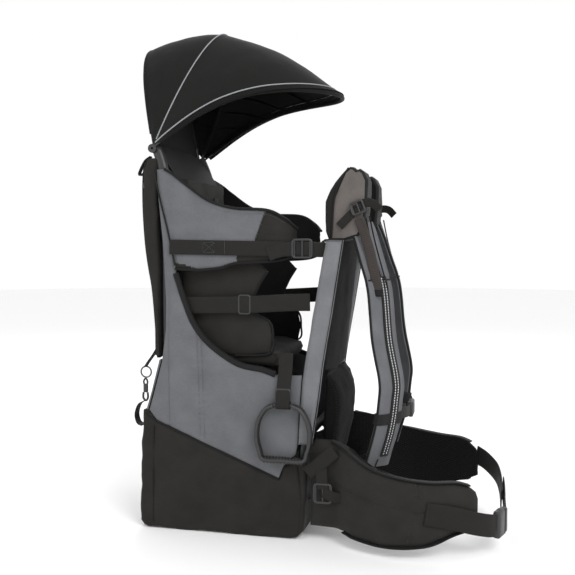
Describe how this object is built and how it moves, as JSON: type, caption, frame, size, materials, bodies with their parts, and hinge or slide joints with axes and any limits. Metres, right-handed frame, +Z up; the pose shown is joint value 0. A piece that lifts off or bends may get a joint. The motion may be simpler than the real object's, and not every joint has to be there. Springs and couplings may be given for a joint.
{
  "type": "baby carrier backpack",
  "caption": "Framed child carrier worn as a backpack, with a cockpit seat, folding sun canopy, foot loops, padded shoulder straps and a buckled hip belt.",
  "frame": {"origin": "middle of the base bag's footprint, on the ground", "axes": "+X is the way the wearer walks, +Y is the wearer's left, +Z is up"},
  "size_m": [0.6632, 0.3866, 0.9164],
  "materials": {
    "grey_fabric": "woven polyester, faintly lumpy",
    "black_fabric": "woven polyester",
    "charcoal_fabric": "woven polyester over foam",
    "air_mesh": "three-dimensional spacer mesh over foam",
    "webbing": "ribbed polypropylene webbing",
    "plastic": "moulded acetal",
    "aluminium_tube": "anodised tube",
    "steel_ring": "plated wire"
  },
  "bodies": {
    "root": {"base_hoop": "aluminium_tube", "frame_upright_right": "aluminium_tube", "frame_upright_left": "aluminium_tube", "rear_frame": "aluminium_tube", "upper_crossbar": "aluminium_tube", "lower_crossbar": "aluminium_tube", "base_bag": "black_fabric", "frame_sleeve_right": "grey_fabric", "frame_sleeve_left": "grey_fabric", "side_panel_right": "grey_fabric", "side_panel_left": "grey_fabric", "cockpit_wing_right": "grey_fabric", "cockpit_wing_left": "grey_fabric", "upper_strap_right": "webbing", "upper_strap_left": "webbing", "upper_ladder_lock_right": "plastic", "upper_ladder_lock_left": "plastic", "lower_strap_right": "webbing", "lower_strap_left": "webbing", "child_backrest": "black_fabric", "child_seat": "charcoal_fabric", "child_harness": "webbing", "day_pack": "black_fabric", "rear_panel": "grey_fabric", "back_panel": "air_mesh", "lumbar_pad": "air_mesh", "shoulder_yoke_right": "black_fabric", "shoulder_yoke_left": "black_fabric", "shoulder_strap_right": "grey_fabric", "shoulder_strap_left": "grey_fabric", "load_lifter_lock_right": "plastic", "load_lifter_lock_left": "plastic", "stirrup_hanger_right": "webbing", "stirrup_hanger_left": "webbing", "canopy_post_right": "plastic", "canopy_post_left": "plastic", "canopy_rear_hoop": "plastic", "canopy_curtain": "black_fabric"},
    "canopy_middle": {"canopy_middle_hoop": "plastic", "canopy_rear_gore": "black_fabric"},
    "canopy_front": {"canopy_front_hoop": "plastic", "canopy_front_gore": "black_fabric"},
    "right_foot_loop": {"stirrup_right": "plastic"},
    "left_foot_loop": {"stirrup_left": "plastic"},
    "hip_belt_right": {"hip_wing_right": "charcoal_fabric", "stabiliser_lock_right": "plastic", "hip_band_right": "webbing", "hip_buckle_socket": "plastic"},
    "hip_belt_left": {"hip_wing_left": "charcoal_fabric", "stabiliser_lock_left": "plastic", "hip_webbing_left": "webbing"},
    "buckle_end": {"hip_buckle_plug": "plastic", "hip_webbing_end": "webbing"},
    "sternum": {"sternum_strap_right": "webbing", "sternum_strap_left": "webbing", "sternum_buckle": "plastic"},
    "ring": {"rear_ring": "steel_ring"},
    "hook": {"rear_hook": "plastic"},
    "right_glide": {"tri_glide_right": "plastic"},
    "left_glide": {"tri_glide_left": "plastic"}
  },
  "joints": [
    {"name": "canopy_middle_fold", "type": "hinge", "parent": "root", "child": "canopy_middle", "pos_m": [-0.13, 0, 0.69], "axis": [0, -1, 0], "range_deg": [0, 28], "deforming": ["canopy_rear_gore"]},
    {"name": "canopy_front_fold", "type": "hinge", "parent": "canopy_middle", "child": "canopy_front", "pos_m": [-0.13, 0, 0.69], "axis": [0, -1, 0], "range_deg": [0, 28], "deforming": ["canopy_front_gore"]},
    {"name": "right_foot_loop_swing", "type": "hinge", "parent": "root", "child": "right_foot_loop", "pos_m": [0.117, -0.151, 0.239], "axis": [-1, 0, 0], "range_deg": [0, 45]},
    {"name": "left_foot_loop_swing", "type": "hinge", "parent": "root", "child": "left_foot_loop", "pos_m": [0.117, 0.151, 0.239], "axis": [1, 0, 0], "range_deg": [0, 45]},
    {"name": "hip_belt_right_spread", "type": "hinge", "parent": "root", "child": "hip_belt_right", "pos_m": [0.186, -0.101, 0.1], "axis": [0, 0, -1], "range_deg": [-2, 5]},
    {"name": "hip_belt_left_spread", "type": "hinge", "parent": "root", "child": "hip_belt_left", "pos_m": [0.186, 0.101, 0.1], "axis": [0, 0, 1], "range_deg": [-2, 5]},
    {"name": "hip_buckle_release", "type": "slide", "parent": "hip_belt_right", "child": "buckle_end", "axis": [0.342, 0.9397, 0], "range_m": [0, 0.025]},
    {"name": "sternum_height", "type": "slide", "parent": "root", "child": "sternum", "axis": [0, 0, 1], "range_m": [-0.02, 0.03]},
    {"name": "ring_swing", "type": "hinge", "parent": "root", "child": "ring", "pos_m": [-0.149, -0.122, 0.2945], "axis": [0, 1, 0], "range_deg": [0, 20]},
    {"name": "hook_swing", "type": "hinge", "parent": "ring", "child": "hook", "pos_m": [-0.15, -0.122, 0.2705], "axis": [0, 1, 0], "range_deg": [0, 25]},
    {"name": "right_glide_slide", "type": "slide", "parent": "root", "child": "right_glide", "axis": [1, 0, 0], "range_m": [-0.025, 0.003]},
    {"name": "left_glide_slide", "type": "slide", "parent": "root", "child": "left_glide", "axis": [1, 0, 0], "range_m": [-0.025, 0.003]}
  ],
  "couplings": [
    {"joint": "canopy_front_fold", "follows": "canopy_middle_fold", "ratio": 1},
    {"joint": "hip_belt_left_spread", "follows": "hip_belt_right_spread", "ratio": 1}
  ]
}
